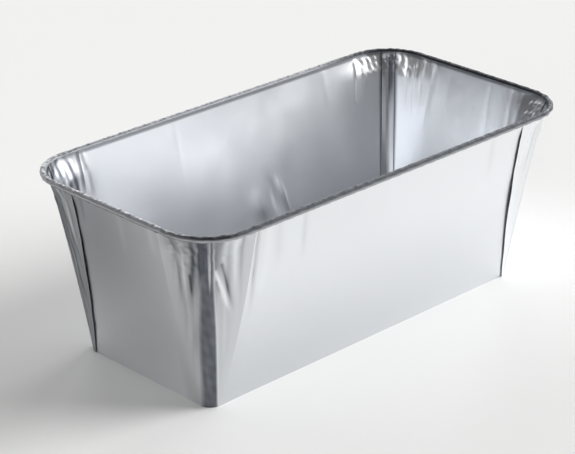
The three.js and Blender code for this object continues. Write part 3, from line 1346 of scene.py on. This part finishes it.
@dataclass
class Studio:
    """Floor, room, lamps and camera, in millimetres, pixels of the photograph and radians."""

    azimuth: float = math.radians(-44.615)
    elevation: float = math.radians(24.308)
    distance: float = 1047.9
    target_height: float = 40.0
    focal_pixels: float = 2197.3
    target_pixel: tuple[float, float] = (305.88, 233.86)
    sensor_width: float = 36.0
    nearest: float = 10.0
    floor_size: float = 8000.0
    floor_colour: str = "#F3F3F2"
    floor_roughness: float = 0.9
    floor_gloss: float = 0.1
    room_colour: str = "#FFFFFF"
    horizon: float = 0.04
    zenith: float = 0.22
    horizon_depth: float = 0.5
    lamps: tuple[Lamp, ...] = (
        Lamp("key_front_right", -35, 27, 3.1, 40),
        Lamp("fill_right", 12, 18, 1.15),
        Lamp("fill_back", 55, 26, 0.55),
        Lamp("fill_back_left", 92, 25, 0.5),
        Lamp("fill_left", 205, 28, 0.45),
    )

    def build(self) -> None:
        """Sets up the floor, the room, the lamps and the camera."""
        bpy.context.scene.view_settings.view_transform = "Standard"
        self._floor()
        self._world()
        for lamp in self.lamps:
            lamp.hang()
        self._camera()

    def _floor(self) -> None:
        """Lays the pale floor."""
        bpy.ops.object.select_all(action="DESELECT")
        bpy.ops.mesh.primitive_plane_add(size=self.floor_size * MM)
        floor = bpy.context.active_object
        floor.name = "floor"
        # matt card has almost no gloss, so it shows a soft shadow and no mirror image
        material = bpy.data.materials.new("matt_white_card")
        material.use_nodes = True
        shader = material.node_tree.nodes["Principled BSDF"]
        shader.inputs["Base Color"].default_value = linear(self.floor_colour)
        shader.inputs["Roughness"].default_value = self.floor_roughness
        shader.inputs["Specular IOR Level"].default_value = self.floor_gloss
        floor.data.materials.append(material)

    def _world(self) -> None:
        """Surrounds the pan with a dim room that is brighter overhead."""
        world = bpy.data.worlds.new("studio")
        world.use_nodes = True
        tree = world.node_tree
        way = add_node(tree, "ShaderNodeTexCoord", {}).outputs["Generated"]
        height = add_node(tree, "ShaderNodeSeparateXYZ", {0: way}).outputs["Z"]
        rise = {"Value": height, "From Max": self.horizon_depth}
        rise |= {"To Min": self.horizon, "To Max": self.zenith}
        level = add_node(tree, "ShaderNodeMapRange", rise, interpolation_type="SMOOTHSTEP")
        background = tree.nodes["Background"]
        background.inputs["Color"].default_value = linear(self.room_colour)
        tree.links.new(level.outputs[0], background.inputs["Strength"])
        bpy.context.scene.world = world

    def _camera(self) -> None:
        """Stands the camera where the photograph was taken from."""
        flat = math.cos(self.elevation)
        back_x, back_y = math.sin(self.azimuth) * flat, -math.cos(self.azimuth) * flat
        back = Vector((back_x, back_y, math.sin(self.elevation)))
        target = Vector((0, 0, self.target_height * MM))
        bpy.ops.object.camera_add(location=target + back * self.distance * MM)
        camera = bpy.context.active_object
        camera.name = "photo_camera"
        camera.rotation_euler = back.to_track_quat("Z", "Y").to_euler()
        camera.data.sensor_width = self.sensor_width
        camera.data.lens = self.focal_pixels / PHOTO_WIDTH * self.sensor_width
        camera.data.shift_x = (PHOTO_WIDTH / 2 - self.target_pixel[0]) / PHOTO_WIDTH
        camera.data.shift_y = (self.target_pixel[1] - PHOTO_HEIGHT / 2) / PHOTO_WIDTH
        camera.data.clip_start = self.nearest * MM
        bpy.context.scene.camera = camera


@dataclass
class LoafPan:
    """The whole pan."""

    form: PanForm
    # painted shade beside the front-left corner's pressed flap
    pressed_flap_shade: float = 0.25
    wall_streak_top: float = 88.0
    corner_streak_top: float = 87.0

    def build(self) -> None:
        """Models every panel of the folded blank."""
        form = self.form
        sheet = self.pale_foil(Slot.SHEET, mottle=4.0, mottle_height=0.006)
        folded = self.pale_foil(Slot.FOLDED, mottle=3.0, mottle_height=0.012)
        # the rim's dark colour paints shade over the curl; its light colour shows as painted highlights
        rim = FoilFinish(
            slot=Slot.RIM,
            flat_colour="#C4C6CA",
            shade_and_wear_colour="#404246",
            smooth=0.36,
            rough=0.48,
            worked_roughness=0.56,
            mottle=1.5,
            mottle_height=0.1,
        )
        BasePanel(form=form, finish=sheet).build()
        for wall in self.walls(sheet):
            wall.build()
        for foil in self.corners():
            Gusset(form=form, finish=folded, foil=foil).build()
            for half in Half:
                Pleat(form=form, finish=folded, foil=foil, half=half).build()
        RolledRim(form=form, finish=rim).build()

    def walls(self, finish: FoilFinish) -> list[FlatWall]:
        """Describes the four walls, two of which have a flap pressed into one end.

        Args:
            finish: Finish of their foil.

        Returns:
            The walls, not yet built.
        """
        creases, shade_and_wear_patch = self.wall_creases(), self.wall_shade_and_wear()
        walls = {
            wall: FlatWall(form=self.form, finish=finish, wall=wall, creases=creases[wall], shade_and_wear_patch=shade_and_wear_patch[wall])
            for wall in Wall
        }
        walls[Wall.FRONT_WALL].hugged = -1
        walls[Wall.LEFT_END_WALL].hugged = 1
        walls[Wall.LEFT_END_WALL].pressed_flap_shade = self.pressed_flap_shade
        return list(walls.values())

    @staticmethod
    def pale_foil(slot: Slot, mottle: float, mottle_height: float) -> FoilFinish:
        """Describes the bright foil of the walls, base and corners.

        Args:
            slot: Which finish of the record.
            mottle: Spacing of its small dents.
            mottle_height: Depth of its small dents.

        Returns:
            The finish.
        """
        return FoilFinish(
            slot=slot,
            flat_colour="#F5F7FA",
            # the darker colour paints shade in folds, corner bands and under the curl, with some handling
            # wear
            shade_and_wear_colour="#5D6067",
            smooth=0.3,
            rough=0.4,
            worked_roughness=0.4,
            mottle=mottle,
            mottle_height=mottle_height,
        )

    @staticmethod
    def wall_shade_and_wear() -> dict[Wall, ShadeAndWearPatch]:
        """Places the patch of painted shade and wear on each wall.

        Returns:
            One patch for each wall, from its middle.
        """
        return {
            # these patches paint shade on the walls, with some handling wear
            Wall.FRONT_WALL: ShadeAndWearPatch(spot=(-85, 0), reach=(320, 72), dull=0.3),
            Wall.BACK_WALL: ShadeAndWearPatch(spot=(110, 38), reach=(130, 62), dull=0.48, core=0.5),
            Wall.LEFT_END_WALL: ShadeAndWearPatch(spot=(-30, 85), reach=(120, 120), dull=0.72),
            Wall.RIGHT_END_WALL: ShadeAndWearPatch(spot=(0, 0), reach=(100, 55), dull=0.45),
        }

    def wall_creases(self) -> dict[Wall, tuple[Crease, ...]]:
        """Places the folds that handling left in the walls.

        Returns:
            Folds of each wall, from its middle.
        """
        top = self.wall_streak_top
        front = (
            Crease((-85.6, 90), (-84.5, 40), -0.8, 2.6),
            Crease((-81.5, 90), (-80, 50), 0.5, 4),
            Crease((-74, 88), (-70, 60), -0.2, 6),
        )
        back = (
            Crease((-12, 46), (-21, 18), -1.1, 10, rise=0.6),
            Crease((-24, 49), (-32, 14), 1.0, 5, rise=0.4),
            Crease((-29, 49), (-37, 14), -1.0, 5, rise=0.4),
            Crease((86.3, 90), (84.2, 66), -0.5, 2.4),
        )
        right = (
            Crease((27, 89), (27.4, 55), 0.45, 2.4),
            Crease((23.5, 89), (24, 60), -0.25, 2.4),
            Crease((-26.5, 89), (-26, 50), 0.4, 3),
        )
        return {
            Wall.FRONT_WALL: front + hanging_creases(1, (-58, 66), top),
            Wall.BACK_WALL: back + hanging_creases(2, (-70, 30), top),
            Wall.LEFT_END_WALL: hanging_creases(3, (-22, 4, 24), top),
            Wall.RIGHT_END_WALL: right + hanging_creases(4, (-12, 14), top),
        }

    def corners(self) -> tuple[CornerFoil, ...]:
        """Places the folds that pressing and handling left in the corners.

        Returns:
            Foil of each corner.
        """
        form = self.form
        band = (Crease((3.3, 84), (3.3, -60), 0.3, 1.0), Crease((-3.6, 84), (-3.6, -60), 0.12, 2.0))
        ribs = (Crease((-2.2, 88), (-2.2, 66), 0.3, 0.9), Crease((1.6, 88), (1.4, 58), 0.3, 0.9))
        front_left = (
            Crease((4, 72), (11.5, 46), 0.6, 2.4),
            Crease((7.5, 75), (13, 47), -0.45, 2.0),
            Crease((4.6, 67), (6.5, 58), -0.35, 1.3),
            Crease((14, 87), (13, 50), 0.3, 3.0),
            Crease((18, 87), (15, 40), -0.35, 2.6),
            Crease((-8, 69), (-7, 57), -0.35, 1.6),
            Crease((-12, 87), (-9, 40), 0.22, 3.0),
            Crease((-16, 87), (-11, 45), -0.22, 2.6),
        )
        front_right = (Crease((-24.5, 88), (-24, 60), -0.3, 2.8), Crease((-20, 88), (-20, 62), 0.3, 3.4))
        back_right = (
            Crease((19.5, 88), (18, 62), -0.5, 2.4),
            Crease((16, 88), (15, 66), 0.35, 2.4),
            Crease((-20, 89), (-17, 60), 0.5, 2.2),
            Crease((-15.5, 89), (-14, 56), -0.4, 2.0),
            Crease((-10.5, 89), (-10, 64), 0.4, 1.8),
        )
        spots = (-18.0, -13.0, -8.5, 7.5, 12.0, 17.5)
        front_right = front_right + hanging_creases(5, spots[3:], self.corner_streak_top)
        back_left = hanging_creases(7, spots, self.corner_streak_top)
        # each corner's settings paint shade on its band, faces and leaves, and highlights on ribs and
        # raised folds
        return (
            CornerFoil(
                form, Corner.FRONT_LEFT, band + front_left, ribs, pressed=True,
                crumple_below=0.08, crumple_height=0.85,
                end_face_shade=0.5, side_face_shade=0.35, end_edge_shade=self.pressed_flap_shade, side_edge_shade=0.29,
            ),
            CornerFoil(
                form, Corner.FRONT_RIGHT, band + front_right, ribs,
                crumple_below=0.15, crumple_height=0.8,
                end_face_shade=0.05, side_face_shade=0.05, leaf_shade=0.5, band_shade=0.2,
            ),
            CornerFoil(
                form, Corner.BACK_RIGHT, band + back_right, (),
                crumple_below=0.04, crumple_height=0.6, crumple_floor=76.0, crumple_top=88.0,
                fine_height=0.45, end_face_shade=0.45, leaf_shade=0.0,
                band_shade=0.75, band_start=-0.8, band_soft=1.2, band_streak=0.6,
            ),
            CornerFoil(
                form, Corner.BACK_LEFT, band + back_left, ribs,
                crumple_below=0.3, crumple_height=0.35, fine_height=0.25,
                flap=0.36, hem=Grain(30, 13.0, 0.5, across=50.0),
                end_face_shade=0.9, side_face_shade=0.35, end_edge_shade=0.75, side_edge_shade=0.3,
                leaf_shade=0.85, crease_shade=0.9,
            ),
        )


def main() -> None:
    """Builds the pan and its studio."""
    logging.basicConfig(level=logging.INFO)
    form = PanForm.from_frame()
    log.info("form %s", form)
    LoafPan(form).build()
    Studio().build()


if __name__ == "__main__":
    main()
